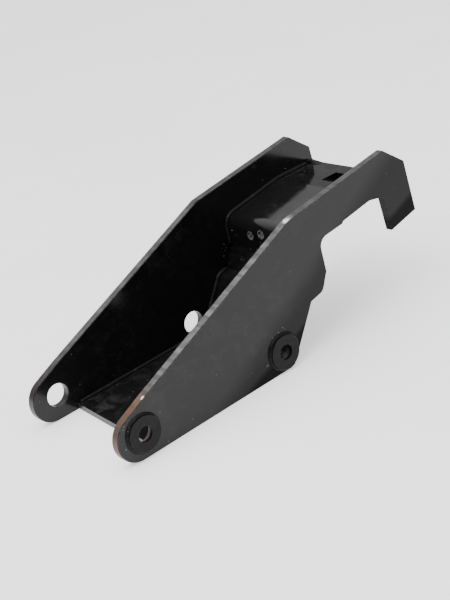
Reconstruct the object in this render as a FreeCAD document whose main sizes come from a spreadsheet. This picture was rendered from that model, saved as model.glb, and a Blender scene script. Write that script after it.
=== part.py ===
"""Welded body of a small excavator's quick coupler, built from flame-cut plate.

Frame: millimetres, +X from the rear pin towards the hooks, +Y to the left, +Z up.
The origin is on the rear pin's axis, midway between the two side plates.
"""
import FreeCAD, Part
import math
import os
import Sketcher

ORIGIN_POINT = (-1, 1)

# The driving dimensions. Every corner of an outline has an x and a z.
SIZES = {
    # the pair of side plates
    "overall_width": 200.0,
    "side_thickness": 12.0,
    "edge_break": 0.8,
    "pin_bore_radius": 16.0,
    "front_bore_x": 235.9,
    "front_bore_z": -5.5,
    # rounded rear end of a side plate
    "rear_round_x": -7.0,
    "rear_round_radius": 32.0,
    "base_z": -34.0,
    "heel_floor_x": 243.8,
    "notch_corner_radius": 14.0,
    "notch_nose_radius": 12.0,
    "hook_relief_radius": 3.0,
    # folded plate: deck across the hooks, web down from it
    "fold_thickness": 12.0,
    "deck_bend_radius": 18.0,
    "window_x": 471.5,
    "window_side": 30.0,
    "web_hole_radius": 5.5,
    "outer_web_hole_y": 40.7,
    "outer_web_hole_z": 96.0,
    "inner_web_hole_y": 17.4,
    "inner_web_hole_z": 101.0,
    # folded plate that closes the notch under the web
    "shelf_thickness": 8.0,
    "shelf_bend_radius": 14.0,
    # bottom plate, its rear edge cut out of square
    "bottom_thickness": 8.0,
    "bottom_rear_left_x": 25.0,
    "bottom_rear_right_x": 12.0,
    "bottom_front_x": 243.0,
    # washers welded over the bores of the right plate
    "washer_radius": 23.5,
    "washer_thickness": 5.0,
    "washer_hole_radius": 10.5,
    # weld beads
    "washer_weld_leg": 3.6,
    "fillet_leg": 5.0,
    "fillet_face": 4.4,
    "base_fillet_leg": 4.0,
    "base_weld_rear_gap": 3.0,
    "base_weld_front_gap": 10.0,
    "deck_weld_front_gap": 12.0,
    "deck_weld_foot_gap": 8.5,
    "lower_weld_front_gap": 8.5,
    "lower_weld_foot_gap": 11.5,
    "deck_end_weld_run": 24.0,
    "deck_end_weld_rise": 5.5,
    "deck_end_weld_depth": 11.0,
    "nose_bead_top_z": 74.0,
    "nose_bead_on_shelf": 8.0,
    "heel_bead_rear_x": 236.0,
    "heel_bead_floor_z": -33.5,
    "heel_bead_on_slope": 11.0,
}

CORNERS = {
    # side plate, from the top rear corner over the hook and back along the underside
    "rear_crown": (12.6, 42.3),
    "top_kink": (288.8, 158.9),
    "hook_crown": (474.6, 184.2),
    "hook_back": (510.6, 155.8),
    "hook_heel": (517.2, 80.4),
    "hook_tip": (466.3, 69.8),
    "throat_front": (460.6, 122.1),
    "throat_rear": (434.7, 127.1),
    "cut_step_high": (382.1, 119.4),
    "cut_step_low": (378.6, 116.5),
    "under_deck": (359.2, 114.6),
    "notch_top": (334.0, 112.0),
    "notch_face": (335.5, 66.0),
    "notch_nose": (322.6, 42.3),
    "shelf_end": (299.6, 37.5),
    "heel_front": (251.1, -31.4),
    # top face of the deck and rear face of the web
    "deck_front": (511.0, 133.5),
    "deck_knee": (436.8, 133.5),
    "deck_bend": (331.0, 117.0),
    "web_foot": (331.0, 66.0),
    # upper face of the lower cross plate
    "shelf_front": (322.0, 46.4),
    "shelf_bend": (297.2, 41.2),
    "slope_foot": (247.8, -29.1),
    # free corners of the two beads that run across
    "nose_bead_front_high": (336.0, 55.5),
    "nose_bead_front_low": (330.0, 44.5),
    "nose_bead_rear_low": (320.0, 55.4),
    "nose_bead_rear_high": (326.0, 65.4),
    "heel_bead_front": (252.6, -33.6),
    "heel_bead_crown": (246.0, -23.0),
}

for corner_name, (corner_x, corner_z) in CORNERS.items():
    SIZES[corner_name + "_x"] = corner_x
    SIZES[corner_name + "_z"] = corner_z

doc = FreeCAD.newDocument("quick_coupler")
sheet = doc.addObject("Spreadsheet::Sheet", "sizes")
for row, (size_name, size_value) in enumerate(SIZES.items(), start=1):
    sheet.set("A%d" % row, size_name)
    sheet.set("B%d" % row, str(size_value))
    sheet.setAlias("B%d" % row, size_name)
doc.recompute()

INNER_WIDTH = "sizes.overall_width - 2 * sizes.side_thickness"
DECK_PATH = ("deck_front", "deck_knee", "deck_bend", "web_foot")
LOWER_PATH = ("shelf_front", "shelf_bend", "slope_foot")
inner_half_width = SIZES["overall_width"] / 2 - SIZES["side_thickness"]
parts = []


# ---------------------------------------------------------------- helpers

def new_body(name):
    """A named body for one sub-part."""
    body = doc.addObject("PartDesign::Body", name)
    body.Label = name
    parts.append(body)
    return body


def new_sketch(body, name, role):
    """A sketch on one of the body's own origin planes."""
    sketch = body.newObject("Sketcher::SketchObject", name)
    plane = [item for item in body.Origin.OriginFeatures if item.Role == role][0]
    sketch.AttachmentSupport = [(plane, "")]
    sketch.MapMode = "FlatFace"
    return sketch


def bind(sketch, constraint, expression):
    """Add a dimension and drive it from the sheet."""
    index = sketch.addConstraint(constraint)
    sketch.setExpression("Constraints[%d]" % index, expression)


def bind_point(sketch, geometry, end, place, cells):
    """Fix a point at two sheet-driven distances from the sketch's origin."""
    bind(sketch, Sketcher.Constraint("DistanceX", *ORIGIN_POINT, geometry, end, place[0]), cells[0])
    bind(sketch, Sketcher.Constraint("DistanceY", *ORIGIN_POINT, geometry, end, place[1]), cells[1])


def corner_cells(name):
    return ("sizes." + name + "_x", "sizes." + name + "_z")


def inner_y_cell(hand):
    """Where a side plate's inner face is: hand is 1 on the left and -1 on the right."""
    return "%d * (sizes.overall_width / 2 - sizes.side_thickness)" % hand


def vector(place):
    return FreeCAD.Vector(place[0], place[1], 0)


def closed_polygon(sketch, places, cells):
    """A closed polygon, every corner bound to its pair of expressions."""
    count = len(places)
    for index in range(count):
        start, end = vector(places[index]), vector(places[(index + 1) % count])
        sketch.addGeometry(Part.LineSegment(start, end), False)
    for index in range(count):
        sketch.addConstraint(Sketcher.Constraint("Coincident", index, 2, (index + 1) % count, 1))
        bind_point(sketch, index, 1, places[index], cells[index])


def bound_circle(sketch, place, radius, cells, radius_cell):
    """A circle; place and cells may hold None where the centre is on an axis."""
    index = sketch.addGeometry(Part.Circle(vector(place), FreeCAD.Vector(0, 0, 1), radius), False)
    bind(sketch, Sketcher.Constraint("Radius", index, radius), radius_cell)
    if cells is None:
        sketch.addConstraint(Sketcher.Constraint("Coincident", index, 3, *ORIGIN_POINT))
    else:
        bind_point(sketch, index, 3, place, cells)


def pad(body, sketch, length_expression, midplane=False):
    feature = body.newObject("PartDesign::Pad", sketch.Name + "_pad")
    feature.Profile = sketch
    feature.setExpression("Length", length_expression)
    feature.Midplane = midplane
    doc.recompute()


def pocket(body, sketch, length_expression):
    """A pocket both ways from the sketch's plane; it must take material away."""
    before = body.Shape.Volume
    feature = body.newObject("PartDesign::Pocket", sketch.Name + "_pocket")
    feature.Profile = sketch
    feature.setExpression("Length", length_expression)
    feature.Midplane = True
    doc.recompute()
    if body.Shape.Volume > before - 1:
        raise RuntimeError(body.Label + ": the pocket " + feature.Name + " cuts nothing")


def edges_where(body, test):
    """Names of the tip's edges whose two ends both pass the test."""
    found = []
    for index, edge in enumerate(body.Shape.Edges, start=1):
        if len(edge.Vertexes) == 2 and all(test(vertex.Point) for vertex in edge.Vertexes):
            found.append("Edge%d" % index)
    return found


def edges_across(body, place, reach=0.6):
    """The edges that run along Y through one point of the XZ outline."""
    def near(point):
        return math.hypot(point.x - place[0], point.z - place[1]) < reach
    return edges_where(body, near)


def dress(body, kind, names, size_name, expression):
    """A fillet or chamfer on named edges or faces of the body's tip."""
    if not names:
        raise RuntimeError(body.Label + ": nothing to put a " + kind + " on")
    base = body.Tip
    feature = body.newObject("PartDesign::" + kind, body.Name + "_" + kind.lower())
    feature.Base = (base, names)
    feature.setExpression(size_name, expression)
    doc.recompute()


def round_across(body, place, expression):
    dress(body, "Fillet", edges_across(body, place), "Radius", expression)


def named(corner):
    """A named corner as its place and its two cells."""
    return CORNERS[corner], corner_cells(corner)


def on_run(start, end, distance=None, aside=None, hand=1):
    """A point on the way from one named corner to another, or beside it.

    distance and aside name sizes; hand is 1 for the run's left and -1 for its right.
    """
    (start_x, start_z), (end_x, end_z) = CORNERS[start], CORNERS[end]
    ahead = SIZES[distance] if distance else 0
    across = hand * SIZES[aside] if aside else 0
    run_x, run_z = end_x - start_x, end_z - start_z
    length = math.hypot(run_x, run_z)
    place = (
        start_x + (run_x * ahead - run_z * across) / length,
        start_z + (run_z * ahead + run_x * across) / length,
    )
    go = "sizes." + distance if distance else "0"
    step = "%d * sizes.%s" % (hand, aside) if aside else "0"
    cell_x = "(sizes.%s_x - sizes.%s_x)" % (end, start)
    cell_z = "(sizes.%s_z - sizes.%s_z)" % (end, start)
    size = "hypot(%s; %s)" % (cell_x, cell_z)
    cells = (
        "sizes.%s_x + (%s * %s - %s * %s) / %s" % (start, cell_x, go, cell_z, step, size),
        "sizes.%s_z + (%s * %s + %s * %s) / %s" % (start, cell_z, go, cell_x, step, size),
    )
    return place, cells


def offset_path(path, distance):
    """The path moved sideways to its left, with mitred corners."""
    normals = []
    for start, end in zip(path, path[1:]):
        run_x, run_z = end[0] - start[0], end[1] - start[1]
        length = math.hypot(run_x, run_z)
        normals.append((-run_z / length, run_x / length))
    moved = []
    for index, point in enumerate(path):
        before = normals[max(index - 1, 0)]
        after = normals[min(index, len(normals) - 1)]
        spread = 1 + before[0] * after[0] + before[1] * after[1]
        step_x = distance * (before[0] + after[0]) / spread
        step_z = distance * (before[1] + after[1]) / spread
        moved.append((point[0] + step_x, point[1] + step_z))
    return moved


def strip_sketch(body, name, points, hand, thickness_name):
    """The section of a folded strip: one face through the points, the other parallel to it.

    hand is 1 to put the strip's thickness on the left of the path and -1 on its right.
    """
    sketch = new_sketch(body, name, "XZ_Plane")
    thickness = SIZES[thickness_name]
    path = [place for place, cells in points]
    other = offset_path(path, hand * thickness)
    runs = len(path) - 1
    for line in (path, other):
        for start, end in zip(line, line[1:]):
            sketch.addGeometry(Part.LineSegment(vector(start), vector(end)), False)
    first_cap = sketch.addGeometry(Part.LineSegment(vector(path[0]), vector(other[0])), False)
    last_cap = sketch.addGeometry(Part.LineSegment(vector(path[-1]), vector(other[-1])), False)
    for first in (0, runs):
        for index in range(first, first + runs - 1):
            sketch.addConstraint(Sketcher.Constraint("Coincident", index, 2, index + 1, 1))
    for index, (place, cells) in enumerate(points[:-1]):
        bind_point(sketch, index, 1, place, cells)
    bind_point(sketch, runs - 1, 2, path[-1], points[-1][1])
    sketch.addConstraint(Sketcher.Constraint("Coincident", first_cap, 1, 0, 1))
    sketch.addConstraint(Sketcher.Constraint("Coincident", first_cap, 2, runs, 1))
    sketch.addConstraint(Sketcher.Constraint("Coincident", last_cap, 1, runs - 1, 2))
    sketch.addConstraint(Sketcher.Constraint("Coincident", last_cap, 2, 2 * runs - 1, 2))
    sketch.addConstraint(Sketcher.Constraint("Perpendicular", first_cap, 0))
    sketch.addConstraint(Sketcher.Constraint("Perpendicular", last_cap, runs - 1))
    bind(sketch, Sketcher.Constraint("Distance", runs, 1, 0, thickness), "sizes." + thickness_name)
    for index in range(runs):
        sketch.addConstraint(Sketcher.Constraint("Parallel", index, runs + index))
    for index in range(1, runs):
        constraint = Sketcher.Constraint("Distance", runs + index, 2, index, thickness)
        bind(sketch, constraint, "sizes." + thickness_name)
    return sketch, path, other


# ---------------------------------------------------------------- side plates

SIDE_OUTLINE = (
    "rear_crown", "top_kink", "hook_crown", "hook_back", "hook_heel", "hook_tip", "throat_front",
    "throat_rear", "cut_step_high", "cut_step_low", "under_deck", "notch_top", "notch_face",
    "notch_nose", "shelf_end", "heel_front",
)


def rear_tangent_point():
    """Where the sloping top edge meets the rear round."""
    center = (SIZES["rear_round_x"], SIZES["base_z"] + SIZES["rear_round_radius"])
    crown = CORNERS["rear_crown"]
    away = math.hypot(crown[0] - center[0], crown[1] - center[1])
    direction = math.atan2(crown[1] - center[1], crown[0] - center[0])
    angle = direction + math.acos(SIZES["rear_round_radius"] / away)
    radius = SIZES["rear_round_radius"]
    return angle, (center[0] + radius * math.cos(angle), center[1] + radius * math.sin(angle))


def side_plate(name, y):
    """A hook plate: flat edges, a rounded rear end and a hand-cut notch under the deck."""
    body = new_body(name)
    sketch = new_sketch(body, name + "_outline", "XZ_Plane")
    radius = SIZES["rear_round_radius"]
    center = (SIZES["rear_round_x"], SIZES["base_z"] + radius)
    angle, tangent = rear_tangent_point()
    floor_front = (SIZES["heel_floor_x"], SIZES["base_z"])
    lowest = (center[0], SIZES["base_z"])
    places = [tangent] + [CORNERS[corner] for corner in SIDE_OUTLINE] + [floor_front, lowest]
    for index in range(len(places) - 1):
        start, end = vector(places[index]), vector(places[index + 1])
        sketch.addGeometry(Part.LineSegment(start, end), False)
    last = len(places) - 2
    circle = Part.Circle(vector(center), FreeCAD.Vector(0, 0, 1), radius)
    arc = sketch.addGeometry(Part.ArcOfCircle(circle, angle, 1.5 * math.pi), False)
    for index in range(last):
        sketch.addConstraint(Sketcher.Constraint("Coincident", index, 2, index + 1, 1))
    for index, corner in enumerate(SIDE_OUTLINE, start=1):
        bind_point(sketch, index, 1, CORNERS[corner], corner_cells(corner))
    bind_point(sketch, last, 1, floor_front, ("sizes.heel_floor_x", "sizes.base_z"))
    sketch.addConstraint(Sketcher.Constraint("Horizontal", last))
    sketch.addConstraint(Sketcher.Constraint("Tangent", 0, 1, arc, 1))
    sketch.addConstraint(Sketcher.Constraint("Tangent", last, 2, arc, 2))
    bind(sketch, Sketcher.Constraint("Radius", arc, radius), "sizes.rear_round_radius")
    bind(sketch, Sketcher.Constraint("DistanceX", *ORIGIN_POINT, arc, 3, center[0]), "sizes.rear_round_x")
    pad(body, sketch, "sizes.side_thickness")

    bores = new_sketch(body, name + "_bores", "XZ_Plane")
    bound_circle(bores, (0, 0), SIZES["pin_bore_radius"], None, "sizes.pin_bore_radius")
    front = (SIZES["front_bore_x"], SIZES["front_bore_z"])
    cells = ("sizes.front_bore_x", "sizes.front_bore_z")
    bound_circle(bores, front, SIZES["pin_bore_radius"], cells, "sizes.pin_bore_radius")
    pocket(body, bores, "sizes.side_thickness * 4")

    round_across(body, CORNERS["notch_top"], "sizes.notch_corner_radius")
    round_across(body, CORNERS["notch_nose"], "sizes.notch_nose_radius")
    for corner in ("throat_front", "throat_rear"):
        round_across(body, CORNERS[corner], "sizes.hook_relief_radius")
    broad_faces = []
    for index, face in enumerate(body.Shape.Faces, start=1):
        if abs(abs(face.normalAt(0, 0).y) - 1) < 1e-6:
            broad_faces.append("Face%d" % index)
    dress(body, "Chamfer", broad_faces, "Size", "sizes.edge_break")
    body.Placement = FreeCAD.Placement(FreeCAD.Vector(0, y, 0), FreeCAD.Rotation())


# ---------------------------------------------------------------- folded and flat plates

def deck_plate():
    """Deck across both hooks, folded down into the web, with a square window and two small holes."""
    body = new_body("deck_plate")
    points = [named(corner) for corner in DECK_PATH]
    sketch, upper, lower = strip_sketch(body, "deck_section", points, 1, "fold_thickness")
    pad(body, sketch, INNER_WIDTH, midplane=True)
    round_across(body, upper[2], "sizes.deck_bend_radius")
    round_across(body, lower[2], "sizes.deck_bend_radius - sizes.fold_thickness")

    window = new_sketch(body, "deck_window", "XY_Plane")
    half, center = SIZES["window_side"] / 2, SIZES["window_x"]
    places = [(center - half, -half), (center + half, -half), (center + half, half), (center - half, half)]
    near, far = "sizes.window_x - sizes.window_side / 2", "sizes.window_x + sizes.window_side / 2"
    low, high = "-sizes.window_side / 2", "sizes.window_side / 2"
    closed_polygon(window, places, [(near, low), (far, low), (far, high), (near, high)])
    pocket(body, window, "2 * sizes.hook_crown_z")

    holes = new_sketch(body, "web_holes", "YZ_Plane")
    for hole in ("outer_web_hole", "inner_web_hole"):
        place = (SIZES[hole + "_y"], SIZES[hole + "_z"])
        cells = ("sizes." + hole + "_y", "sizes." + hole + "_z")
        bound_circle(holes, place, SIZES["web_hole_radius"], cells, "sizes.web_hole_radius")
    pocket(body, holes, "2 * (sizes.deck_bend_x + sizes.deck_bend_radius)")


def lower_cross_plate():
    """A short shelf under the web, folded down the sloping front of the notch."""
    body = new_body("lower_cross_plate")
    points = [named(corner) for corner in LOWER_PATH]
    sketch, upper, lower = strip_sketch(body, "lower_section", points, 1, "shelf_thickness")
    pad(body, sketch, INNER_WIDTH, midplane=True)
    round_across(body, upper[1], "sizes.shelf_bend_radius")
    round_across(body, lower[1], "sizes.shelf_bend_radius - sizes.shelf_thickness")


def bottom_plate():
    """A flat plate flush with the lower edges; its rear edge runs out of square."""
    body = new_body("bottom_plate")
    sketch = new_sketch(body, "bottom_outline", "XY_Plane")
    places = [
        (SIZES["bottom_rear_right_x"], -inner_half_width),
        (SIZES["bottom_front_x"], -inner_half_width),
        (SIZES["bottom_front_x"], inner_half_width),
        (SIZES["bottom_rear_left_x"], inner_half_width),
    ]
    cells = [
        ("sizes.bottom_rear_right_x", inner_y_cell(-1)),
        ("sizes.bottom_front_x", inner_y_cell(-1)),
        ("sizes.bottom_front_x", inner_y_cell(1)),
        ("sizes.bottom_rear_left_x", inner_y_cell(1)),
    ]
    closed_polygon(sketch, places, cells)
    pad(body, sketch, "sizes.bottom_thickness")
    body.Placement = FreeCAD.Placement(FreeCAD.Vector(0, 0, SIZES["base_z"]), FreeCAD.Rotation())


def washer(name, center):
    """A ring welded on the outside of the right plate, over a pin bore."""
    body = new_body(name)
    sketch = new_sketch(body, name + "_rings", "XZ_Plane")
    for radius_cell in ("washer_radius", "washer_hole_radius"):
        bound_circle(sketch, (0, 0), SIZES[radius_cell], None, "sizes." + radius_cell)
    pad(body, sketch, "sizes.washer_thickness")
    outer_y = -SIZES["overall_width"] / 2
    body.Placement = FreeCAD.Placement(FreeCAD.Vector(center[0], outer_y, center[1]), FreeCAD.Rotation())


# ---------------------------------------------------------------- weld beads

def washer_weld(name, center):
    """A ring fillet in the corner between a washer's rim and the side plate."""
    body = new_body(name)
    sketch = new_sketch(body, name + "_section", "XY_Plane")
    radius, leg = SIZES["washer_radius"], SIZES["washer_weld_leg"]
    places = [(radius, 0), (radius + leg, 0), (radius, -leg)]
    for index in range(3):
        sketch.addGeometry(Part.LineSegment(vector(places[index]), vector(places[(index + 1) % 3])), False)
    for index in range(3):
        sketch.addConstraint(Sketcher.Constraint("Coincident", index, 2, (index + 1) % 3, 1))
    sketch.addConstraint(Sketcher.Constraint("Horizontal", 0))
    sketch.addConstraint(Sketcher.Constraint("Vertical", 2))
    sketch.addConstraint(Sketcher.Constraint("PointOnObject", 0, 1, -1))
    bind(sketch, Sketcher.Constraint("DistanceX", *ORIGIN_POINT, 0, 1, radius), "sizes.washer_radius")
    bind(sketch, Sketcher.Constraint("DistanceX", 0, 1, 0, 2, leg), "sizes.washer_weld_leg")
    bind(sketch, Sketcher.Constraint("DistanceY", 2, 1, 2, 2, leg), "sizes.washer_weld_leg")
    turn = body.newObject("PartDesign::Revolution", name + "_ring")
    turn.Profile = sketch
    turn.ReferenceAxis = (sketch, ["V_Axis"])
    turn.Angle = 360
    doc.recompute()
    outer_y = -SIZES["overall_width"] / 2
    body.Placement = FreeCAD.Placement(FreeCAD.Vector(center[0], outer_y, center[1]), FreeCAD.Rotation())


def path_fillet(name, points, hand, bend, radius_name):
    """A fillet bead along a cross plate's upper face, in the corner with one side plate.

    hand is 1 on the left and -1 on the right; bend is the number of the path's rounded corner.
    """
    body = new_body(name)
    sketch, inner, outer = strip_sketch(body, name + "_band", points, -1, "fillet_leg")
    pad(body, sketch, "sizes.fillet_leg")
    round_across(body, inner[bend], "sizes." + radius_name)
    round_across(body, outer[bend], "sizes." + radius_name + " + sizes.fillet_leg")
    leg = SIZES["fillet_leg"]
    free_y = -leg if hand > 0 else 0

    def on_free_rim(point):
        return abs(point.y - free_y) < 1e-3 and path_distance((point.x, point.z), inner) > 0.93 * leg

    dress(body, "Chamfer", edges_where(body, on_free_rim), "Size", "sizes.fillet_face")
    y = inner_half_width if hand > 0 else leg - inner_half_width
    body.Placement = FreeCAD.Placement(FreeCAD.Vector(0, y, 0), FreeCAD.Rotation())


def path_distance(point, path):
    """Shortest distance from a point to a polyline."""
    distances = []
    for start, end in zip(path, path[1:]):
        run_x, run_z = end[0] - start[0], end[1] - start[1]
        share = ((point[0] - start[0]) * run_x + (point[1] - start[1]) * run_z) / (run_x ** 2 + run_z ** 2)
        share = max(0.0, min(1.0, share))
        foot = (start[0] + share * run_x, start[1] + share * run_z)
        distances.append(math.hypot(point[0] - foot[0], point[1] - foot[1]))
    return min(distances)


def corner_bead(name, hand, base, legs, length, rear):
    """A bead of triangular section in the corner between a cross plate and a side plate, along X.

    base is the height of the cross plate's face, legs the rise up the side plate and the run
    inwards, length the pad's expression; rear is where the bead starts.
    """
    body = new_body(name)
    sketch = new_sketch(body, name + "_section", "YZ_Plane")
    (base_value, base_cell), (rise, run) = base, legs
    corner = hand * inner_half_width
    inward = corner - hand * SIZES[run]
    inward_cell = "%s - %d * sizes.%s" % (inner_y_cell(hand), hand, run)
    places = [(corner, base_value), (corner, base_value + SIZES[rise]), (inward, base_value)]
    cells = [
        (inner_y_cell(hand), base_cell),
        (inner_y_cell(hand), base_cell + " + sizes." + rise),
        (inward_cell, base_cell),
    ]
    closed_polygon(sketch, places, cells)
    pad(body, sketch, length)
    body.Placement = FreeCAD.Placement(FreeCAD.Vector(rear, 0, 0), FreeCAD.Rotation())


def bottom_weld(name, hand):
    """The straight fillet along one side of the bottom plate."""
    rear_name = "bottom_rear_left_x" if hand > 0 else "bottom_rear_right_x"
    base = (SIZES["base_z"] + SIZES["bottom_thickness"], "sizes.base_z + sizes.bottom_thickness")
    legs = ("base_fillet_leg", "base_fillet_leg")
    gaps = "sizes.base_weld_rear_gap - sizes.base_weld_front_gap"
    length = "sizes.bottom_front_x - sizes.%s - %s" % (rear_name, gaps)
    corner_bead(name, hand, base, legs, length, SIZES[rear_name] + SIZES["base_weld_rear_gap"])


def deck_end_weld(name, hand):
    """The run-off of the deck's fillet at the front corner: a low wedge that thins out inwards."""
    base = (SIZES["deck_front_z"], "sizes.deck_front_z")
    legs = ("deck_end_weld_rise", "deck_end_weld_run")
    rear = SIZES["deck_front_x"] - SIZES["deck_end_weld_depth"]
    corner_bead(name, hand, base, legs, "sizes.deck_end_weld_depth", rear)


def cross_seam(name, points):
    """A bead that runs straight across, between the two side plates."""
    body = new_body(name)
    sketch = new_sketch(body, name + "_section", "XZ_Plane")
    closed_polygon(sketch, [place for place, cells in points], [cells for place, cells in points])
    pad(body, sketch, INNER_WIDTH, midplane=True)


def nose_seam_weld():
    """The heavy rough bead that joins the web's foot to the front of the shelf."""
    foot_x, foot_z = CORNERS["web_foot"]
    under_foot = (foot_x + SIZES["fold_thickness"], foot_z)
    cross_seam("nose_seam_weld", [
        ((foot_x, SIZES["nose_bead_top_z"]), ("sizes.web_foot_x", "sizes.nose_bead_top_z")),
        named("web_foot"),
        (under_foot, ("sizes.web_foot_x + sizes.fold_thickness", "sizes.web_foot_z")),
        named("nose_bead_front_high"),
        named("nose_bead_front_low"),
        on_run("shelf_front", "shelf_bend", aside="shelf_thickness"),
        named("shelf_front"),
        on_run("shelf_front", "shelf_bend", distance="nose_bead_on_shelf"),
        named("nose_bead_rear_low"),
        named("nose_bead_rear_high"),
    ])


def heel_seam_weld():
    """The bead that joins the foot of the slope to the front of the bottom plate."""
    front, rear = SIZES["bottom_front_x"], SIZES["heel_bead_rear_x"]
    top, top_cell = SIZES["base_z"] + SIZES["bottom_thickness"], "sizes.base_z + sizes.bottom_thickness"
    cross_seam("heel_seam_weld", [
        ((rear, top), ("sizes.heel_bead_rear_x", top_cell)),
        ((front, top), ("sizes.bottom_front_x", top_cell)),
        ((front, SIZES["heel_bead_floor_z"]), ("sizes.bottom_front_x", "sizes.heel_bead_floor_z")),
        named("heel_bead_front"),
        on_run("slope_foot", "shelf_bend", aside="shelf_thickness", hand=-1),
        named("slope_foot"),
        on_run("slope_foot", "shelf_bend", distance="heel_bead_on_slope"),
        named("heel_bead_crown"),
    ])


# ---------------------------------------------------------------- build

rear_bore = (0.0, 0.0)
front_bore = (SIZES["front_bore_x"], SIZES["front_bore_z"])

side_plate("left_side_plate", SIZES["overall_width"] / 2)
side_plate("right_side_plate", -inner_half_width)
deck_plate()
lower_cross_plate()
bottom_plate()
for washer_name, place in (("rear_boss", rear_bore), ("front_boss", front_bore)):
    washer(washer_name + "_washer", place)
    washer_weld(washer_name + "_weld", place)

deck_run = [
    on_run("deck_front", "deck_knee", distance="deck_weld_front_gap"),
    named("deck_knee"),
    named("deck_bend"),
    on_run("web_foot", "deck_bend", distance="deck_weld_foot_gap"),
]
lower_run = [
    on_run("shelf_front", "shelf_bend", distance="lower_weld_front_gap"),
    named("shelf_bend"),
    on_run("slope_foot", "shelf_bend", distance="lower_weld_foot_gap"),
]
for side_name, side_hand in (("left", 1), ("right", -1)):
    path_fillet("deck_weld_" + side_name, deck_run, side_hand, 2, "deck_bend_radius")
    path_fillet("lower_weld_" + side_name, lower_run, side_hand, 1, "shelf_bend_radius")
    bottom_weld("bottom_weld_" + side_name, side_hand)
    deck_end_weld("deck_end_weld_" + side_name, side_hand)
nose_seam_weld()
heel_seam_weld()
doc.recompute()

# ---------------------------------------------------------------- check and write

for item in doc.Objects:
    if "Invalid" in item.State or "Error" in item.State:
        raise RuntimeError("failed feature: " + item.Name)
for body in parts:
    if body.Shape.isNull() or not body.Shape.isValid():
        raise RuntimeError("bad shape: " + body.Label)

os.makedirs("parts", exist_ok=True)
for body in parts:
    body.Shape.exportStep("parts/" + body.Label + ".step")
    print(body.Label, round(body.Shape.Volume), len(body.Shape.Solids))
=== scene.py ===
"""Looks of the quick coupler's body: black paint on flame-cut plate, rippled weld beads and spatter."""

import math
import random

import bpy
from mathutils import Matrix, Vector, noise


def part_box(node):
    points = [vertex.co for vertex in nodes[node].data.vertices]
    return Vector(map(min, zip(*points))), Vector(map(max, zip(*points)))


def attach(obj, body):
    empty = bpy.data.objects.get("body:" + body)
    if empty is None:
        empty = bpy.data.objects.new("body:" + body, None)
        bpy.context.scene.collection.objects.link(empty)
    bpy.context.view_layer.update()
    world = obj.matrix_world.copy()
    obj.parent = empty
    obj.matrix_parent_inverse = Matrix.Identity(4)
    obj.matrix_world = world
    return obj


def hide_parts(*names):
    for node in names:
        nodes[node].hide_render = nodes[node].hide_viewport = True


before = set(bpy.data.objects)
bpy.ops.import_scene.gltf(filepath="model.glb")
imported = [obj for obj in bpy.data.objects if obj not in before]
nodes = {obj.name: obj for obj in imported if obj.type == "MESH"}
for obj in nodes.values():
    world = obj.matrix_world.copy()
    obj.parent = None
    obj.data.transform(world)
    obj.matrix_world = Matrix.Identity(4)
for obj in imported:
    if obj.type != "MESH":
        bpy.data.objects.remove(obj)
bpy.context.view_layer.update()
MM = 0.001
SEED = 11


# ---------------------------------------------------------------- material helpers

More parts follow.
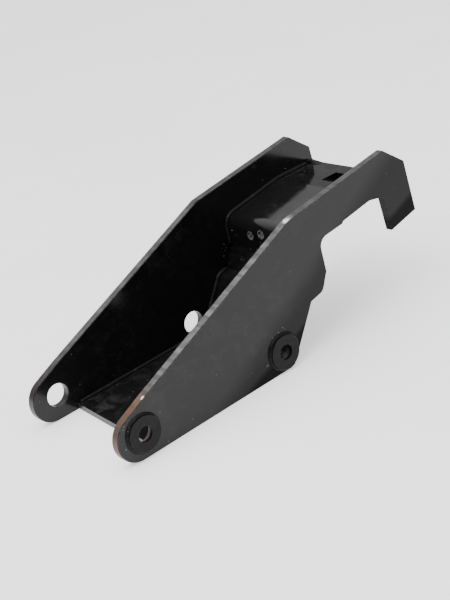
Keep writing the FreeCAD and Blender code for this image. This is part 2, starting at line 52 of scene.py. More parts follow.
class Graph:
    """Short names for building a node tree."""

    def __init__(self, name):
        self.material = bpy.data.materials.new(name)
        self.material.use_nodes = True
        self.tree = self.material.node_tree
        self.tree.nodes.clear()
        self.shader = self.tree.nodes.new("ShaderNodeBsdfPrincipled")
        output = self.tree.nodes.new("ShaderNodeOutputMaterial")
        self.tree.links.new(self.shader.outputs["BSDF"], output.inputs["Surface"])
        self.place = self.node("ShaderNodeTexCoord").outputs["Object"]
        self.normal = self.node("ShaderNodeNewGeometry").outputs["True Normal"]

    def node(self, kind, **settings):
        made = self.tree.nodes.new(kind)
        for key, value in settings.items():
            setattr(made, key, value)
        return made

    def link(self, source, target):
        self.tree.links.new(source, target)

    def feed(self, target, value):
        if isinstance(value, bpy.types.NodeSocket):
            self.link(value, target)
        else:
            target.default_value = value

    def stretched(self, scale, turn=(0, 0, 0), shift=(0, 0, 0)):
        """The object's own coordinates, turned, scaled and shifted."""
        made = self.node("ShaderNodeMapping")
        self.link(self.place, made.inputs["Vector"])
        made.inputs["Location"].default_value = shift
        made.inputs["Rotation"].default_value = turn
        made.inputs["Scale"].default_value = scale
        return made.outputs["Vector"]

    def noise(self, scale, detail=3.0, rough=0.55, at=None, distortion=0.0):
        made = self.node("ShaderNodeTexNoise")
        self.link(at or self.place, made.inputs["Vector"])
        made.inputs["Scale"].default_value = scale
        made.inputs["Detail"].default_value = detail
        made.inputs["Roughness"].default_value = rough
        made.inputs["Distortion"].default_value = distortion
        return made.outputs["Fac"]

    def cells(self, scale, at=None, feature="F1"):
        made = self.node("ShaderNodeTexVoronoi", feature=feature)
        self.link(at or self.place, made.inputs["Vector"])
        made.inputs["Scale"].default_value = scale
        return made.outputs["Distance"], made.outputs["Color"]

    def math(self, operation, first, second=0.0, clamp=False):
        made = self.node("ShaderNodeMath", operation=operation, use_clamp=clamp)
        self.feed(made.inputs[0], first)
        self.feed(made.inputs[1], second)
        return made.outputs[0]

    def ramp(self, value, low, high, out_low=0.0, out_high=1.0):
        made = self.node("ShaderNodeMapRange", interpolation_type="SMOOTHSTEP")
        self.feed(made.inputs["Value"], value)
        made.inputs["From Min"].default_value = low
        made.inputs["From Max"].default_value = high
        made.inputs["To Min"].default_value = out_low
        made.inputs["To Max"].default_value = out_high
        return made.outputs["Result"]

    def mix(self, share, first, second):
        made = self.node("ShaderNodeMix", data_type="RGBA")
        self.feed(made.inputs[0], share)
        self.feed(made.inputs[6], first if isinstance(first, bpy.types.NodeSocket) else (*first, 1))
        self.feed(made.inputs[7], second if isinstance(second, bpy.types.NodeSocket) else (*second, 1))
        return made.outputs[2]

    def split(self, vector):
        made = self.node("ShaderNodeSeparateXYZ")
        self.link(vector, made.inputs[0])
        return made.outputs

    def bump(self, height, strength, distance, below=None):
        made = self.node("ShaderNodeBump")
        made.inputs["Strength"].default_value = strength
        made.inputs["Distance"].default_value = distance
        self.link(height, made.inputs["Height"])
        if below:
            self.link(below, made.inputs["Normal"])
        return made.outputs["Normal"]

    def finish(self, colour, roughness, normal, **plain):
        self.link(colour, self.shader.inputs["Base Color"])
        self.link(roughness, self.shader.inputs["Roughness"])
        self.link(normal, self.shader.inputs["Normal"])
        for key, value in plain.items():
            self.shader.inputs[key.replace("_", " ")].default_value = value
        return self.material


# near-black for the painted shade and the painted dark reflections
PAINTED_DARK_COLOUR = (0.0015, 0.0015, 0.0017)
# near-white for bare-steel spots painted as a highlight
BARE_GLINT_WHITE = (0.72, 0.71, 0.69)
BARED_RIM = (0.17, 0.165, 0.16)
RUST = (0.165, 0.088, 0.050)
DUST = (0.0150, 0.0148, 0.0152)

# lengthwise ends of the folded and bottom plates, the web's depth and the deck window's surroundings
REAR_END, FRONT_END = (0.030, 0.027), (0.508, 0.5105)
WEB_DEPTH = (0.344, 0.336)
WINDOW_REAR, WINDOW_FRONT = (0.440, 0.445), (0.500, 0.498)


def scratches(graph, turn, scale, shift, low, high):
    """Thin broken lines in one direction: a noise drawn out along them, cut to a narrow band."""
    along = graph.stretched(scale, turn, shift)
    band = graph.math("ABSOLUTE", graph.math("SUBTRACT", graph.noise(1.0, 2.0, 0.5, at=along), 0.5))
    line = graph.ramp(band, 0.0, 0.009, 1.0, 0.0)
    where = graph.ramp(graph.noise(14.0, 1.0, at=graph.stretched((1, 1, 1), shift=shift)), low, high)
    return graph.math("MULTIPLY", line, where)


def painted_plate(name, shift, edge_bare, rust, gloss, specular, side=True, bare_glints=(), high_bare=1.0,
                  rust_colour=RUST, rims=(), painted_reflections=(), dusty=DUST):
    """Satin black paint on rolled plate, thin and worn on the flame-cut edges.

    bare-steel spots on the edges (place, reach) are painted near-white as a highlight, rims are bared hole rims
    in the web (y, z, radius) and the dark gradients (start, end, share) are reflections painted onto the plate.
    """
    graph = Graph(name)
    normal = graph.split(graph.normal)
    position = graph.split(graph.place)
    if side:
        is_edge = graph.ramp(graph.math("ABSOLUTE", normal[1]), 0.80, 0.35)
    else:
        ends = graph.math("MAXIMUM", graph.ramp(position[0], *REAR_END), graph.ramp(position[0], *FRONT_END))
        is_edge = graph.math("MULTIPLY", graph.ramp(graph.math("ABSOLUTE", normal[0]), 0.85, 0.97), ends)

    cloud = graph.noise(7.0, 4.0, 0.6, at=graph.stretched((1, 1, 1), shift=shift))
    haze = graph.noise(55.0, 5.0, 0.65, at=graph.stretched((1, 1, 1), shift=shift), distortion=0.6)
    peel = graph.noise(420.0, 2.0, 0.5)
    grain = graph.noise(1900.0, 2.0, 0.6)

    # paint: nearly black, a little dusty, with thin places
    dust = graph.math("MULTIPLY", graph.ramp(cloud, 0.38, 0.72), graph.ramp(haze, 0.40, 0.75))
    paint = graph.mix(dust, (0.0060, 0.0060, 0.0066), dusty)
    line_a = scratches(graph, (0, 0.46, 0), (3.0, 20, 420), shift, 0.56, 0.68)
    line_b = scratches(graph, (0, -0.72, 0), (4.5, 20, 560), (4.1, 0.3, 2.2), 0.58, 0.70)
    line_c = scratches(graph, (0, 1.32, 0), (6.0, 20, 480), (1.7, 2.3, 6.2), 0.60, 0.72)
    lines = graph.math("MAXIMUM", graph.math("MAXIMUM", line_a, line_b), line_c)
    paint = graph.mix(graph.math("MULTIPLY", lines, 0.10), paint, (0.050, 0.049, 0.048))
    distance, colour = graph.cells(95.0, at=graph.stretched((1, 1, 1), shift=shift))
    chosen = graph.ramp(graph.split(colour)[0], 0.80, 0.82)
    speck = graph.math("MULTIPLY", graph.ramp(distance, 0.05, 0.12, 1.0, 0.0), chosen)
    paint = graph.mix(graph.math("MULTIPLY", speck, 0.55), paint, (0.12, 0.115, 0.11))

    # flame-cut edge: drag lines run straight through the thickness
    drag = graph.noise(1.0, 3.0, 0.6, at=graph.stretched((620, 26, 620)))
    wide_drag = graph.noise(1.0, 2.0, 0.5, at=graph.stretched((120, 8, 120)))
    blotch = graph.noise(38.0, 5.0, 0.62, at=graph.stretched((1, 1, 1), shift=shift))
    bare = graph.math("MULTIPLY", graph.ramp(blotch, 0.36, 0.60, 0.45, 1.0), edge_bare)
    bare = graph.math("MULTIPLY", bare, graph.ramp(drag, 0.30, 0.62, 0.62, 1.0))
    at_rear = graph.ramp(position[0], 0.010, -0.015)
    # edges facing upwards, and the rear, get the lighter bare steel: real wear, with a painted highlight on the upward
    # edges and painted shade keeping the other edges dark
    lit_upward_and_worn_rear = graph.math("MAXIMUM", graph.ramp(normal[2], 0.10, 0.50), at_rear)
    bare = graph.math("MULTIPLY", bare, lit_upward_and_worn_rear)
    bare = graph.math("MULTIPLY", bare, graph.ramp(position[0], 0.292, 0.315, 1.0, high_bare))
    steel = graph.mix(graph.ramp(wide_drag, 0.35, 0.65), (0.085, 0.083, 0.082), (0.19, 0.185, 0.18))
    rear = graph.ramp(position[0], 0.045, -0.010)
    patchy = graph.ramp(blotch, 0.28, 0.50, 0.35, 1.0)
    rusty = graph.math("MULTIPLY", graph.math("MULTIPLY", rear, rust), patchy)
    steel = graph.mix(rusty, steel, rust_colour)
    edge = graph.mix(bare, (0.020, 0.0198, 0.0205), steel)
    body = graph.mix(is_edge, paint, edge)
    # bare-steel spots on the edges, painted near-white as a highlight
    for place, reach in bare_glints:
        away = graph.node("ShaderNodeVectorMath", operation="DISTANCE")
        graph.link(graph.place, away.inputs[0])
        away.inputs[1].default_value = place
        ragged = graph.math("ADD", away.outputs["Value"], graph.math("MULTIPLY", blotch, reach))
        bare_glint_spot = graph.math("MULTIPLY", graph.ramp(ragged, 1.5 * reach, 1.05 * reach), is_edge)
        body = graph.mix(bare_glint_spot, body, BARE_GLINT_WHITE)
    for y, z, radius in rims:
        off = graph.math("POWER", graph.math("SUBTRACT", position[1], y), 2.0)
        rise = graph.math("POWER", graph.math("SUBTRACT", position[2], z), 2.0)
        reach = graph.math("SQRT", graph.math("ADD", off, rise))
        ring = graph.ramp(reach, radius + 1.3 * MM, radius + 0.6 * MM)
        ring = graph.math("MULTIPLY", ring, graph.ramp(position[0], *WEB_DEPTH))
        ring = graph.math("MULTIPLY", ring, graph.ramp(graph.noise(330.0, 2.0), 0.34, 0.52))
        body = graph.mix(ring, body, BARED_RIM)

    # worn line along every corner, where a rounded normal leaves the flat one
    rounded = graph.node("ShaderNodeBevel", samples=4)
    rounded.inputs["Radius"].default_value = 1.1 * MM
    apart = graph.node("ShaderNodeVectorMath", operation="DOT_PRODUCT")
    graph.link(rounded.outputs["Normal"], apart.inputs[0])
    graph.link(graph.normal, apart.inputs[1])
    corner = graph.ramp(apart.outputs["Value"], 0.99, 0.86)
    chipped = graph.math("MULTIPLY", corner, graph.ramp(graph.noise(160.0, 4.0, 0.7), 0.42, 0.60))
    body = graph.mix(graph.math("MULTIPLY", chipped, 0.75), body, (0.17, 0.165, 0.16))

    # painted shade on the deck window's walls and painted dark reflections on a side plate: darker colour, less
    # specular
    painted_dark = 0.0
    if not side:
        wall = graph.ramp(graph.math("ABSOLUTE", normal[2]), 0.50, 0.20)
        within = graph.math("MULTIPLY", graph.ramp(position[0], *WINDOW_REAR), graph.ramp(position[0], *WINDOW_FRONT))
        painted_dark = graph.math("MULTIPLY", wall, within)
    for start, end, share in painted_reflections:
        run = Vector(end) - Vector(start)
        along = graph.node("ShaderNodeVectorMath", operation="DOT_PRODUCT")
        graph.link(graph.place, along.inputs[0])
        along.inputs[1].default_value = run / run.length_squared
        offset = run.dot(Vector(start)) / run.length_squared
        ragged = graph.math("ADD", along.outputs["Value"], graph.math("MULTIPLY", cloud, 0.5))
        deep = graph.ramp(ragged, offset + 0.25, offset + 1.25, 0.0, share)
        painted_dark = graph.math("MAXIMUM", painted_dark, deep)
    uses_painted_dark = isinstance(painted_dark, bpy.types.NodeSocket)
    if uses_painted_dark:
        graph.link(graph.math("SUBTRACT", specular, graph.math("MULTIPLY", painted_dark, specular)),
                   graph.shader.inputs["Specular IOR Level"])
        body = graph.mix(graph.math("MULTIPLY", painted_dark, 0.8), body, PAINTED_DARK_COLOUR)

    roughness = graph.ramp(haze, 0.30, 0.75, gloss, gloss + 0.05)
    roughness = graph.math("ADD", roughness, graph.math("MULTIPLY", dust, 0.05))
    roughness = graph.math("ADD", roughness, graph.math("MULTIPLY", is_edge, 0.20))
    roughness = graph.math("ADD", roughness, graph.math("MULTIPLY", lines, 0.05), clamp=True)

    height = graph.math("MULTIPLY", peel, 0.55)
    height = graph.math("ADD", height, graph.math("MULTIPLY", grain, 0.14))
    height = graph.math("SUBTRACT", height, graph.math("MULTIPLY", lines, 0.10))
    nick = graph.noise(1.0, 2.0, 0.5, at=graph.stretched((70, 30, 260), (0, -0.5, 0), shift))
    nick = graph.ramp(nick, 0.69, 0.73)
    body = graph.mix(graph.math("MULTIPLY", nick, 0.7), body, (0.002, 0.002, 0.002))
    height = graph.math("SUBTRACT", height, graph.math("MULTIPLY", nick, 3.0))
    height = graph.math("ADD", height, graph.math("MULTIPLY", speck, 0.8))
    ridges = graph.math("MULTIPLY", graph.math("MULTIPLY", drag, is_edge), 2.6)
    height = graph.math("ADD", height, ridges)
    rolled = graph.bump(graph.noise(11.0, 2.0, 0.5), 0.35, 1.6 * MM)
    surface = graph.bump(height, 0.22, 0.12 * MM, below=rolled)
    plain = {} if uses_painted_dark else {"Specular_IOR_Level": specular}
    return graph.finish(body, roughness, surface, Coat_Weight=0.04, Coat_Roughness=0.06, **plain)


def painted_washer(name):
    """A turned ring under the same paint: fine rings on its face, worn rims, and painted shade on the bore wall and
    outer rim.
    """
    graph = Graph(name)
    haze = graph.noise(130.0, 4.0, 0.6, distortion=0.5)
    rings = graph.noise(1.0, 2.0, 0.5, at=graph.stretched((900, 40, 900)))
    paint = graph.mix(graph.ramp(haze, 0.40, 0.72), (0.0030, 0.0030, 0.0034), (0.0085, 0.0083, 0.0086))
    rounded = graph.node("ShaderNodeBevel", samples=4)
    rounded.inputs["Radius"].default_value = 0.9 * MM
    apart = graph.node("ShaderNodeVectorMath", operation="DOT_PRODUCT")
    graph.link(rounded.outputs["Normal"], apart.inputs[0])
    graph.link(graph.normal, apart.inputs[1])
    corner = graph.ramp(apart.outputs["Value"], 0.985, 0.80)
    worn = graph.math("MULTIPLY", corner, graph.ramp(graph.noise(240.0, 3.0, 0.7), 0.40, 0.60))
    colour = graph.mix(graph.math("MULTIPLY", worn, 0.55), paint, (0.13, 0.125, 0.12))
    # painted shade: the bore wall and the outer rim are painted near-black and made rough
    bore_and_rim_shade = graph.ramp(graph.math("ABSOLUTE", graph.split(graph.normal)[1]), 0.90, 0.60)
    colour = graph.mix(bore_and_rim_shade, colour, (0.0030, 0.0030, 0.0032))
    roughness = graph.ramp(haze, 0.30, 0.75, 0.24, 0.42)
    roughness = graph.math("ADD", roughness, graph.math("MULTIPLY", bore_and_rim_shade, 0.5))
    height = graph.math("ADD", graph.noise(520.0, 2.0), graph.math("MULTIPLY", rings, 0.3))
    surface = graph.bump(height, 0.35, 0.12 * MM)
    return graph.finish(colour, roughness, surface, Specular_IOR_Level=0.13, Coat_Weight=0.0)


def painted_weld(name, shine, bare):
    """Black paint over a rippled bead: thick in the valleys, rubbed to metal on the crests."""
    graph = Graph(name)
    patch = graph.noise(85.0, 4.0, 0.6)
    fine = graph.noise(900.0, 3.0, 0.65)
    crest = graph.node("ShaderNodeAttribute", attribute_name="crest").outputs["Fac"]
    rubbed = graph.math("MULTIPLY", graph.ramp(crest, 0.60, 0.98), graph.ramp(patch, 0.56, 0.66))
    colour = graph.mix(graph.ramp(fine, 0.35, 0.70), (0.0025, 0.0025, 0.003), (0.009, 0.0088, 0.0086))
    colour = graph.mix(graph.math("MULTIPLY", rubbed, bare), colour, (0.20, 0.195, 0.19))
    roughness = graph.ramp(patch, 0.30, 0.70, shine, shine + 0.22)
    surface = graph.bump(fine, 0.35, 0.20 * MM)
    return graph.finish(colour, roughness, surface, Specular_IOR_Level=0.11, Coat_Weight=0.0)


def spatter_metal(name):
    """Small frozen drops, half of them still under paint."""
    graph = Graph(name)
    colour_key = graph.noise(260.0, 1.0)
    fine = graph.noise(2200.0, 2.0)
    colour = graph.mix(graph.ramp(colour_key, 0.44, 0.54), (0.014, 0.014, 0.015), (0.36, 0.35, 0.34))
    roughness = graph.ramp(fine, 0.30, 0.70, 0.20, 0.42)
    return graph.finish(colour, roughness, graph.bump(fine, 0.3, 0.06 * MM), Metallic=0.35, Coat_Weight=0.2)


def studio_floor(name):
    """A pale matt ground with a faint unevenness."""
    graph = Graph(name)
    patch = graph.noise(3.0, 4.0, 0.5)
    fine = graph.noise(180.0, 3.0, 0.6)
    colour = graph.mix(graph.ramp(patch, 0.3, 0.7), (0.83, 0.83, 0.83), (0.87, 0.87, 0.87))
    roughness = graph.ramp(patch, 0.3, 0.7, 0.62, 0.75)
    graph.shader.inputs["Emission Color"].default_value = (1.0, 1.0, 1.0, 1.0)
    return graph.finish(colour, roughness, graph.bump(fine, 0.08, 0.3 * MM), Specular_IOR_Level=0.2,
                        Emission_Strength=0.8)


# ---------------------------------------------------------------- materials on the CAD nodes

# bare-steel spots at the kink and near the rear end, painted near-white as a highlight
RIGHT_BARE_GLINTS = (((0.2888, -0.0955, 0.1589), 0.0065), ((0.0126, -0.0985, 0.0423), 0.0035))
# dark reflections painted on the near plate: at the hook's tip and towards the lower edge
RIGHT_PAINTED_REFLECTIONS = (((0.500, -0.1, 0.118), (0.508, -0.1, 0.098), 0.85),
                ((0.140, -0.1, 0.000), (0.160, -0.1, -0.034), 0.45))
WEB_HOLES = ((0.0407, 0.0960, 0.0055), (0.0174, 0.1010, 0.0055))
NEAR_PAINT = painted_plate("black_paint_right", (0.0, 0.0, 0.0), 1.0, 1.0, 0.17, 0.255,
                           bare_glints=RIGHT_BARE_GLINTS, high_bare=0.32, painted_reflections=RIGHT_PAINTED_REFLECTIONS, rust_colour=(0.135, 0.054, 0.024))
FAR_PAINT = painted_plate("black_paint_left", (3.7, 1.9, 5.3), 0.50, 1.0, 0.12, 0.27, high_bare=0.45,
                          rust_colour=(0.026, 0.013, 0.008))
CROSS_PAINT = painted_plate("black_paint_cross", (8.2, 4.4, 1.6), 0.60, 0.0, 0.08, 0.34, side=False,
                            rims=WEB_HOLES, dusty=(0.034, 0.0335, 0.033))
WASHER_PAINT = painted_washer("black_paint_washer")
WELD = painted_weld("painted_weld_bead", 0.22, 0.60)
SEAM = painted_weld("painted_weld_seam", 0.18, 0.55)
SPATTER = spatter_metal("weld_spatter_metal")

PAINTED = {
    "right_side_plate": NEAR_PAINT,
    "left_side_plate": FAR_PAINT,
    "deck_plate": CROSS_PAINT,
    "lower_cross_plate": CROSS_PAINT,
    "bottom_plate": CROSS_PAINT,
    "rear_boss_washer": WASHER_PAINT,
    "front_boss_washer": WASHER_PAINT,
}
for node_name, material in PAINTED.items():
    mesh = nodes[node_name].data
    for index in range(len(mesh.materials)):
        mesh.materials[index] = material


# ---------------------------------------------------------------- geometry helpers

def new_piece(name, vertices, faces, material, node=None, crests=None):
    """A smooth mesh that rides on the body and may stand for a CAD node."""
    mesh = bpy.data.meshes.new(name)
    mesh.from_pydata([tuple(v) for v in vertices], [], faces)
    mesh.validate()
    mesh.shade_smooth()
    mesh.materials.append(material)
    if crests:
        attribute = mesh.attributes.new("crest", "FLOAT", "POINT")
        attribute.data.foreach_set("value", crests)
    piece = bpy.data.objects.new(name, mesh)
    bpy.context.scene.collection.objects.link(piece)
    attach(piece, "root")
    if node:
        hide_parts(node)
    return piece


def wobble(x, y, z=0.0):
    return noise.noise(Vector((x, y, z + SEED)))


def rounded_path(corners, radii, step):
    """Points about step apart along straight runs joined by arcs; one radius for each inner corner."""
    points = []
    previous = Vector(corners[0])
    for index in range(1, len(corners) - 1):
        corner = Vector(corners[index])
        into = (corner - Vector(corners[index - 1])).normalized()
        out = (Vector(corners[index + 1]) - corner).normalized()
        turn = into.angle(out)
        reach = radii[index - 1] * math.tan(turn / 2)
        start = corner - into * reach
        points += straight(previous, start, step)
        side = 1 if into.x * out.y - into.y * out.x > 0 else -1
        center = start + Vector((-into.y, into.x)) * side * radii[index - 1]
        count = max(2, int(radii[index - 1] * turn / step))
        for k in range(count):
            spin = Matrix.Rotation(side * turn * k / count, 2)
            points.append(center + spin @ (start - center))
        previous = corner + out * reach
    return points + straight(previous, Vector(corners[-1]), step) + [Vector(corners[-1])]


def straight(start, end, step):
    count = max(1, int((end - start).length / step))
    return [start.lerp(end, k / count) for k in range(count)]


def bead(name, node, stations, legs, pitch, closed=False, phase=0.0, rise=0.22, ripple=0.10):
    """A fillet bead: at each station a corner point and the two directions along the plates.

    The ripples are crescents that trail behind the puddle, as a torch leaves them.
    """
    around = 9
    total = len(stations)
    lengths = [0.0]
    for k in range(1, total):
        lengths.append(lengths[-1] + (stations[k][0] - stations[k - 1][0]).length)
    whole = lengths[-1]
    vertices, faces, crests = [], [], []
    for k, (corner, first, second) in enumerate(stations):
        run = lengths[k] / MM
        swell = 1 + 0.10 * wobble(run / 9.0 + phase, 1.3) + 0.05 * wobble(run / 2.2 + phase, 7.7)
        if not closed:
            inset = min(lengths[k], whole - lengths[k]) / (legs[0] * 0.9)
            swell *= math.sqrt(max(0.02, 1 - (1 - min(1.0, inset)) ** 2))
        a_end, b_end = first * legs[0] * swell, second * legs[1] * swell
        outward = (first + second).normalized()
        for j in range(around):
            t = j / (around - 1)
            hump = math.sin(math.pi * t)
            lag = 1.2 * (2 * t - 1) ** 2
            beat = run / pitch + lag * 0.55 + 0.35 * wobble(run / 6.0, 3.1 + phase)
            tooth = 1 - (beat - math.floor(beat))
            tooth = tooth * tooth * (3 - 2 * tooth)
            lift = legs[0] * (rise * hump + ripple * (tooth - 0.4) * hump ** 0.6)
            lift += legs[0] * 0.03 * wobble(run / 1.1, t * 6.0, phase)
            vertices.append(corner + a_end.lerp(b_end, t) + outward * lift * min(1.0, swell))
            crests.append(tooth * hump)
        vertices.append(corner.copy())
        crests.append(0.0)
    ring = around + 1
    steps = total if closed else total - 1
    for k in range(steps):
        base, ahead = k * ring, ((k + 1) % total) * ring
        for j in range(ring):
            right = (j + 1) % ring
            faces.append((base + j, base + right, ahead + right, ahead + j))
    if not closed:
        faces.append(tuple(range(ring - 1, -1, -1)))
        faces.append(tuple((total - 1) * ring + j for j in range(ring)))
    return new_piece(name, vertices, faces, WELD, node, crests)


# ---------------------------------------------------------------- fillet beads

right_low, right_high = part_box("right_side_plate")
left_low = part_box("left_side_plate")[0]
LEFT_FACE, RIGHT_FACE = left_low.y, right_high.y
STEP = 0.55 * MM

# upper faces of the two folded plates, in the XZ plane, in metres
DECK_LINE = [(0.4990, 0.1335), (0.4368, 0.1335), (0.3310, 0.1170), (0.3310, 0.0745)]
DECK_RADII = [0.030, 0.018]
LOWER_LINE = [(0.31367, 0.04467), (0.2972, 0.0412), (0.25441, -0.01970)]
LOWER_RADII = [0.014]


def corner_stations(line, radii, hand, upward):
    """Stations along a folded plate's upper face where it meets a side plate."""
    path = rounded_path(line, radii, STEP)
    face = LEFT_FACE if hand > 0 else RIGHT_FACE
    stations = []
    for k, point in enumerate(path):
        ahead = path[min(k + 1, len(path) - 1)] - path[max(k - 1, 0)]
        ahead.normalize()
        up = Vector((ahead.y, -ahead.x)) * upward
        stations.append((Vector((point.x, face, point.y)), Vector((0, -hand, 0)), Vector((up.x, 0, up.y))))
    return stations


for side, hand in (("left", 1), ("right", -1)):
    bead("deck_bead_" + side, "deck_weld_" + side, corner_stations(DECK_LINE, DECK_RADII, hand, 1),
         (4.6 * MM, 4.6 * MM), 2.1, phase=3.0 * hand)
    bead("lower_bead_" + side, "lower_weld_" + side, corner_stations(LOWER_LINE, LOWER_RADII, hand, 1),
         (4.6 * MM, 4.6 * MM), 2.0, phase=5.0 * hand)
    low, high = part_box("bottom_weld_" + side)
    face = LEFT_FACE if hand > 0 else RIGHT_FACE
    count = int((high.x - low.x) / STEP)
    line = [Vector((low.x + (high.x - low.x) * k / count, face, low.z)) for k in range(count + 1)]
    bead("bottom_bead_" + side, "bottom_weld_" + side,
         [(point, Vector((0, -hand, 0)), Vector((0, 0, 1))) for point in line],
         (3.7 * MM, 3.7 * MM), 2.3, phase=8.0 * hand)

for end in ("rear", "front"):
    low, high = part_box(end + "_boss_washer")
    center = (low + high) / 2
    radius = (high.x - low.x) / 2
    count = int(2 * math.pi * radius / STEP)
    stations = []
    for k in range(count):
        angle = 2 * math.pi * k / count
        out = Vector((math.cos(angle), 0, math.sin(angle)))
        stations.append((Vector((center.x, right_low.y, center.z)) + out * radius, out, Vector((0, -1, 0))))
    bead(end + "_boss_bead", end + "_boss_weld", stations, (3.4 * MM, 3.4 * MM), 2.2, closed=True,
         phase=1.0 if end == "rear" else 17.0, rise=0.12, ripple=0.12)


# ---------------------------------------------------------------- seams that run across

def dense(outline, spacing):
    """The closed outline with points added along its sides."""
    points = []
    for k, start in enumerate(outline):
        start, end = Vector(start), Vector(outline[(k + 1) % len(outline)])
        points += straight(start, end, spacing)
    return points


def seam(name, node, outline, free, passes, pitch, phase):
    """A broad bead across the body, laid in several passes; free says which sides of the outline show."""
    section, shown = [], []
    for k, start in enumerate(outline):
        start, end = Vector(start), Vector(outline[(k + 1) % len(outline)])
        run = straight(start, end, 1.1 * MM)
        section += run
        shown += [k in free] * len(run)
    total = len(section)
    edge_fade = []
    for j in range(total):
        near = min(abs(j - i) if abs(j - i) < total / 2 else total - abs(j - i)
                   for i in range(total) if not shown[i]) if shown[j] else 0
        edge_fade.append(min(1.0, near / 3.0))
    middle = sum(section, Vector((0, 0))) / total
    slices = int((LEFT_FACE - RIGHT_FACE) / (0.8 * MM))
    vertices, faces, crests = [], [], []
    for k in range(slices + 1):
        y = RIGHT_FACE + (LEFT_FACE - RIGHT_FACE) * k / slices
        for j, point in enumerate(section):
            before, after = section[j - 1], section[(j + 1) % total]
            tangent = (after - before).normalized()
            normal = Vector((tangent.y, -tangent.x))
            if normal.dot(point - middle) < 0:
                normal = -normal
            across = j / total * passes
            lane = across - math.floor(across)
            hump = math.sin(math.pi * lane) ** 0.7
            beat = y / MM / pitch + 0.9 * (2 * lane - 1) ** 2 + math.floor(across) * 0.37
            beat += 0.5 * wobble(y / MM / 7.0, across, phase)
            tooth = 1 - (beat - math.floor(beat))
            lift = 0.75 * MM * (hump - 0.55) + 0.45 * MM * (tooth - 0.5) * hump
            lift += 0.75 * MM * wobble(y / MM / 4.0, across * 2.2, phase)
            lift += 0.25 * MM * wobble(y / MM / 1.3, across * 7.0, phase)
            moved = point + normal * (lift - 0.55 * MM) * edge_fade[j]
            vertices.append(Vector((moved.x, y, moved.y)))
            crests.append(tooth * hump * edge_fade[j])
    for k in range(slices):
        for j in range(total):
            right = (j + 1) % total
            faces.append((k * total + j, k * total + right, (k + 1) * total + right, (k + 1) * total + j))
    faces.append(tuple(range(total)))
    faces.append(tuple(slices * total + j for j in range(total - 1, -1, -1)))
    return new_piece(name, vertices, faces, SEAM, node, crests)


NOSE = [(0.3310, 0.0740), (0.3310, 0.0660), (0.3430, 0.0660), (0.3360, 0.0555), (0.3300, 0.0445),
        (0.32364, 0.03857), (0.3220, 0.0464), (0.31417, 0.04476), (0.3200, 0.0554), (0.3260, 0.0654)]
HEEL = [(0.2360, -0.0260), (0.2430, -0.0260), (0.2430, -0.0335), (0.2526, -0.0336), (0.25434, -0.0337),
        (0.2478, -0.0291), (0.25413, -0.02010), (0.2460, -0.0230)]
seam("nose_seam", "nose_seam_weld", NOSE, {2, 3, 4, 7, 8, 9}, 9, 2.6, 2.0)
seam("heel_seam", "heel_seam_weld", HEEL, {2, 3, 6, 7}, 6, 2.4, 9.0)


def end_wedge(name, node, hand):
    """The lumpy run-off of a deck bead at the front corner."""
    low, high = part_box(node)
    wide, deep = 26, 14
    vertices, faces, crests = [], [], []
    for k in range(wide + 1):
        share = k / wide
        y = (high.y if hand > 0 else low.y) - hand * share * (high.y - low.y)
        for j in range(deep + 1):
            v = j / deep
            x = low.x + (high.x - low.x) * v
            crown = 0.55 + 0.45 * math.sin(math.pi * min(1, v * 1.2))
            body = (1 - share) ** 1.25 * (high.z - low.z) * crown
            bumps = 0.6 * MM * wobble(y / MM / 2.6, x / MM / 2.6, hand)
            bumps *= math.sin(math.pi * min(1.0, share + 0.1))
            vertices.append(Vector((x, y, low.z + max(0.0, body + bumps))))
            crests.append(max(0.0, 1 - share) * math.sin(math.pi * v))
    for k in range(wide):
        for j in range(deep):
            base = k * (deep + 1) + j
            quad = (base, base + 1, base + deep + 2, base + deep + 1)
            faces.append(quad if hand > 0 else quad[::-1])
    skirt = len(vertices)
    rim = [j for j in range(deep + 1)] + [k * (deep + 1) + deep for k in range(1, wide + 1)]
    rim += [wide * (deep + 1) + j for j in range(deep - 1, -1, -1)]
    rim += [k * (deep + 1) for k in range(wide - 1, 0, -1)]
    for index in rim:
        point = vertices[index]
        vertices.append(Vector((point.x, point.y, low.z)))
        crests.append(0.0)
    for k, index in enumerate(rim):
        after = (k + 1) % len(rim)
        faces.append((index, rim[after], skirt + after, skirt + k))
    return new_piece(name, vertices, faces, WELD, node, crests)


end_wedge("deck_end_bead_left", "deck_end_weld_left", 1)
end_wedge("deck_end_bead_right", "deck_end_weld_right", -1)


# ---------------------------------------------------------------- spatter

def drops(name, places, seed):
    """Low round drops stuck to the plates: each place is (centre, normal, radius)."""
    shuffled = random.Random(seed)
    vertices, faces = [], []
    for center, normal, radius in places:
        side = normal.orthogonal().normalized()
        other = normal.cross(side)
        base = len(vertices)
        squash = shuffled.uniform(0.55, 0.85)
        rings, spokes = 3, 8
        for ring in range(rings):
            rise = math.sin(math.pi / 2 * ring / rings)
            reach = math.cos(math.pi / 2 * ring / rings)
            for spoke in range(spokes):
                angle = 2 * math.pi * spoke / spokes
                out = side * math.cos(angle) + other * math.sin(angle)
                vertices.append(center + out * radius * reach + normal * radius * squash * rise)
        vertices.append(center + normal * radius * squash)
        for ring in range(rings - 1):
            for spoke in range(spokes):
                ahead = (spoke + 1) % spokes
                low, high = base + ring * spokes, base + (ring + 1) * spokes
                faces.append((low + spoke, low + ahead, high + ahead, high + spoke))
        top = base + rings * spokes
        last = base + (rings - 1) * spokes
        for spoke in range(spokes):
            faces.append((last + spoke, last + (spoke + 1) % spokes, top))
        faces.append(tuple(base + spoke for spoke in range(spokes - 1, -1, -1)))
    return new_piece(name, vertices, faces, SPATTER)


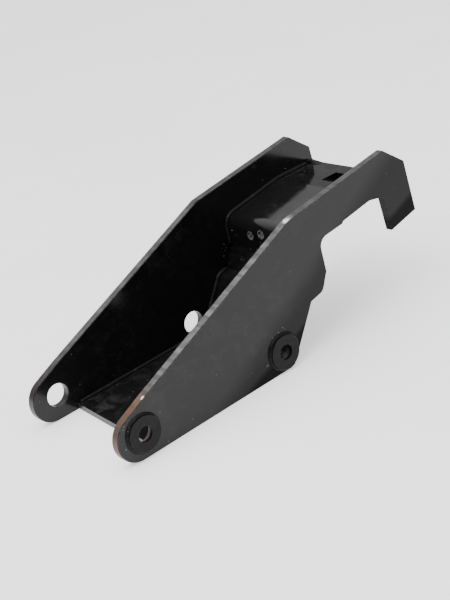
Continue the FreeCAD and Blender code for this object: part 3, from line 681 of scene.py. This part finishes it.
def scatter(seed):
    """Drops near the beads: on the web, the deck, the shelf's slope and the side plates."""
    rng = random.Random(seed)
    places = []
    up = Vector((0, 0, 1))
    bend_x, bend_z = LOWER_LINE[1]
    foot_x, foot_z = LOWER_LINE[2]
    slope = Vector((foot_x - bend_x, 0, foot_z - bend_z))
    slope_normal = Vector((slope.z, 0, -slope.x)).normalized()
    for _ in range(22):
        y = rng.uniform(-0.080, 0.080)
        z = 0.074 + rng.random() ** 2 * 0.024
        places.append((Vector((0.3310, y, z)), Vector((-1, 0, 0)), rng.uniform(0.35, 0.95) * MM))
    for _ in range(16):
        hand = rng.choice((-1, 1))
        y = hand * (0.082 - rng.random() ** 2 * 0.020)
        places.append((Vector((rng.uniform(0.44, 0.495), y, 0.1335)), up, rng.uniform(0.3, 0.8) * MM))
    for _ in range(26):
        share = rng.uniform(0.22, 0.92)
        point = Vector((bend_x, 0, bend_z)) + slope * share
        point.y = rng.uniform(-0.078, 0.078)
        places.append((point, slope_normal, rng.uniform(0.3, 0.85) * MM))
    for _ in range(26):
        hand = rng.choice((-1, 1))
        share = rng.random()
        if share < 0.3:
            x, z = rng.uniform(0.345, 0.490), rng.uniform(0.139, 0.150)
            z -= max(0.0, 0.4368 - x) * 0.150
        else:
            x, z = rng.uniform(0.295, 0.322), rng.uniform(0.056, 0.095)
        face = LEFT_FACE if hand > 0 else RIGHT_FACE
        places.append((Vector((x, face, z)), Vector((0, -hand, 0)), rng.uniform(0.3, 0.7) * MM))
    for end in ("rear", "front"):
        low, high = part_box(end + "_boss_washer")
        center = (low + high) / 2
        for _ in range(16):
            angle, reach = rng.uniform(0, 2 * math.pi), rng.uniform(0.0280, 0.0325)
            x, z = center.x + math.cos(angle) * reach, center.z + math.sin(angle) * reach
            if -0.032 < z and x < 0.262 and math.hypot(x + 0.007, z + 0.002) < 0.31:
                if end == "front" or math.hypot(x + 0.007, z + 0.002) < 0.030:
                    places.append((Vector((x, right_low.y, z)), Vector((0, -1, 0)), rng.uniform(0.3, 0.7) * MM))
    return places


drops("weld_spatter", scatter(SEED), SEED)


# ---------------------------------------------------------------- floor, light and camera

def add_floor():
    half = 6.0
    mesh = bpy.data.meshes.new("studio_floor")
    z = min(right_low.z, left_low.z)
    corners = [(-half, -half, z), (half, -half, z), (half, half, z), (-half, half, z)]
    mesh.from_pydata(corners, [], [(0, 1, 2, 3)])
    mesh.materials.append(studio_floor("pale_floor"))
    floor = bpy.data.objects.new("studio_floor", mesh)
    bpy.context.scene.collection.objects.link(floor)


def add_light(name, position, target, size, power):
    light = bpy.data.lights.new(name, "AREA")
    light.shape = "RECTANGLE"
    light.size, light.size_y = size
    light.energy = power
    lamp = bpy.data.objects.new(name, light)
    lamp.location = position
    lamp.rotation_euler = (Vector(target) - Vector(position)).to_track_quat("-Z", "Y").to_euler()
    bpy.context.scene.collection.objects.link(lamp)


def soft_sky():
    """Plain white light, strongest overhead, weaker towards the horizon and on the camera's side."""
    world = bpy.data.worlds.new("studio_world")
    world.use_nodes = True
    tree = world.node_tree
    place = tree.nodes.new("ShaderNodeTexCoord")
    split = tree.nodes.new("ShaderNodeSeparateXYZ")
    fade = tree.nodes.new("ShaderNodeMapRange")
    fade.interpolation_type = "SMOOTHSTEP"
    fade.inputs["From Min"].default_value = 0.28
    fade.inputs["From Max"].default_value = 0.95
    fade.inputs["To Min"].default_value = 0.38
    fade.inputs["To Max"].default_value = 2.40
    tree.links.new(place.outputs["Generated"], split.inputs[0])
    tree.links.new(split.outputs[2], fade.inputs["Value"])
    side = tree.nodes.new("ShaderNodeVectorMath")
    side.operation = "DOT_PRODUCT"
    side.inputs[1].default_value = (0.588, 0.809, 0.0)
    turned = tree.nodes.new("ShaderNodeMapRange")
    turned.interpolation_type = "SMOOTHSTEP"
    turned.inputs["From Min"].default_value = -0.75
    turned.inputs["From Max"].default_value = 0.10
    turned.inputs["To Min"].default_value = 0.40
    strength = tree.nodes.new("ShaderNodeMath")
    strength.operation = "MULTIPLY"
    tree.links.new(place.outputs["Generated"], side.inputs[0])
    tree.links.new(side.outputs["Value"], turned.inputs["Value"])
    tree.links.new(fade.outputs["Result"], strength.inputs[0])
    tree.links.new(turned.outputs["Result"], strength.inputs[1])
    tree.links.new(strength.outputs[0], tree.nodes["Background"].inputs["Strength"])
    tree.nodes["Background"].inputs["Color"].default_value = (1.0, 1.0, 1.0, 1)
    bpy.context.scene.world = world


add_floor()
soft_sky()
add_light("key_light", (-0.9, -0.3, 2.2), (0.24, 0.0, 0.05), (1.8, 1.8), 52.0)

camera_data = bpy.data.cameras.new("camera")
camera_data.sensor_fit = "VERTICAL"
camera_data.sensor_height = 36.0
camera_data.lens = 79.46
camera_data.shift_y = -50.0 / 600.0
camera_data.clip_end = 50.0
camera = bpy.data.objects.new("camera", camera_data)
forward = Vector((0.54556, 0.7499, -0.37406)).normalized()
up = Vector((0.39727, 0.1615, 0.90332))
right = forward.cross(up).normalized()
up = right.cross(forward)
turn = Matrix((right, up, -forward)).transposed()
camera.matrix_world = Matrix.Translation((-0.7111, -1.3256, 0.7766)) @ turn.to_4x4()
bpy.context.scene.collection.objects.link(camera)
bpy.context.scene.camera = camera

bpy.context.view_layer.update()
